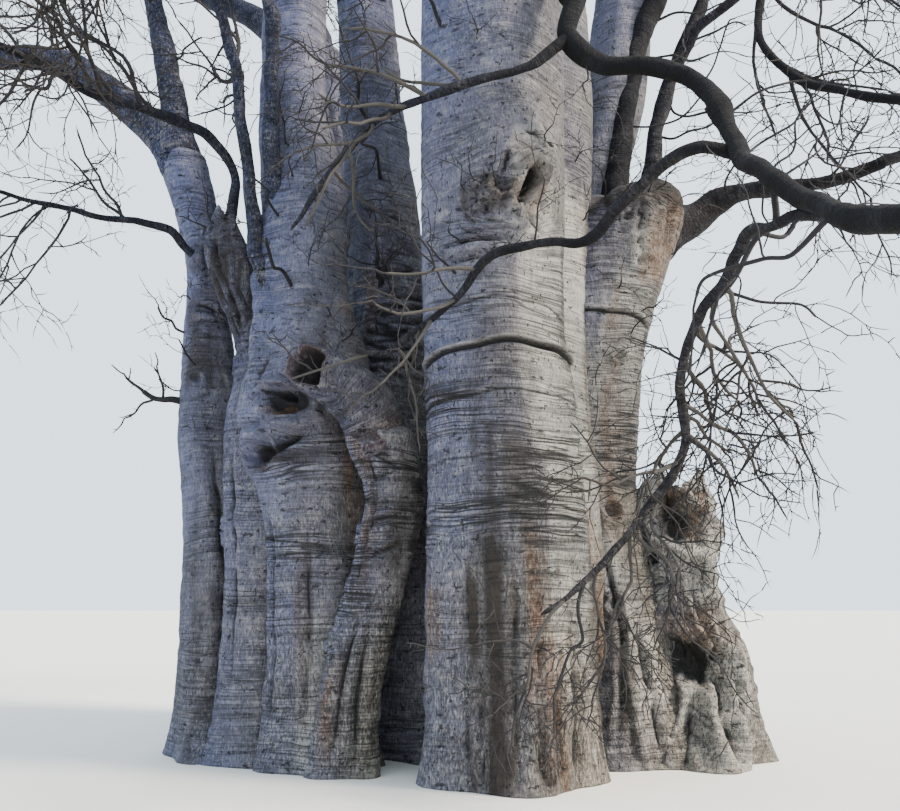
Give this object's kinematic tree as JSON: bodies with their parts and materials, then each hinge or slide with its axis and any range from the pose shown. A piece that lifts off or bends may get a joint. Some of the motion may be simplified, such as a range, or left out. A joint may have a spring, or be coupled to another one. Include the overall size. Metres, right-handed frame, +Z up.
{
  "type": "baobab tree",
  "caption": "Bare baobab: a ring of massive fused stems on a flared foot, with crooked boughs, hanging limbs and masses of leafless twigs.",
  "frame": {"origin": "on the flat cut under the middle stem, at ground level", "axes": "+Z up along the stems, -Y towards the side with the broad front stem and the broken stub, +X towards the buttress"},
  "size_m": [21.0039, 22.1097, 19.6348],
  "materials": {
    "stem_bark": "smooth grey violet bark, warm and pale where it is lit, creased in fine rings, with rust brown stains",
    "bough_bark": "dull dark grey brown bark, lightly wrinkled",
    "twig_bark": "dry grey brown twigs, paler on the sunny side"
  },
  "bodies": {
    "root": {"bough_back": "bough_bark", "bough_back_left": "bough_bark", "bough_back_left_top": "bough_bark", "bough_back_right": "bough_bark", "bough_back_right_top": "bough_bark", "bough_centre_top": "bough_bark", "bough_front_left": "bough_bark", "bough_front_right": "bough_bark", "bough_front_top": "bough_bark", "bough_left_arch": "bough_bark", "bough_left_front": "bough_bark", "bough_left_rise": "bough_bark", "bough_left_top": "bough_bark", "bough_middle_top": "bough_bark", "bough_right_dark": "bough_bark", "bough_right_low": "bough_bark", "bough_right_rise": "bough_bark", "bough_right_sweep": "bough_bark", "bough_stub": "bough_bark", "buttress_right": "stem_bark", "stem_back": "stem_bark", "stem_back_left": "stem_bark", "stem_back_right": "stem_bark", "stem_front": "stem_bark", "stem_front_right": "stem_bark", "stem_left_inner": "stem_bark", "stem_left_outer": "stem_bark", "stem_left_pollard": "stem_bark", "stem_middle": "stem_bark", "stem_right": "stem_bark", "stem_stub": "stem_bark", "twigs_back": "twig_bark", "twigs_back_left": "twig_bark", "twigs_back_left_top": "twig_bark", "twigs_back_right": "twig_bark", "twigs_back_right_top": "twig_bark", "twigs_centre_top": "twig_bark", "twigs_crossing": "twig_bark", "twigs_fork_right": "twig_bark", "twigs_front_left": "twig_bark", "twigs_front_left_top": "twig_bark", "twigs_front_right": "twig_bark", "twigs_front_top": "twig_bark", "twigs_hanging_right": "twig_bark", "twigs_high_right": "twig_bark", "twigs_left_arch": "twig_bark", "twigs_left_dark": "twig_bark", "twigs_left_front": "twig_bark", "twigs_left_inner": "twig_bark", "twigs_left_low": "twig_bark", "twigs_left_rise": "twig_bark", "twigs_left_top": "twig_bark", "twigs_left_upright": "twig_bark", "twigs_middle_top": "twig_bark", "twigs_right_dark": "twig_bark", "twigs_right_low": "twig_bark", "twigs_right_rise": "twig_bark", "twigs_right_sweep": "twig_bark"}
  },
  "joints": []
}
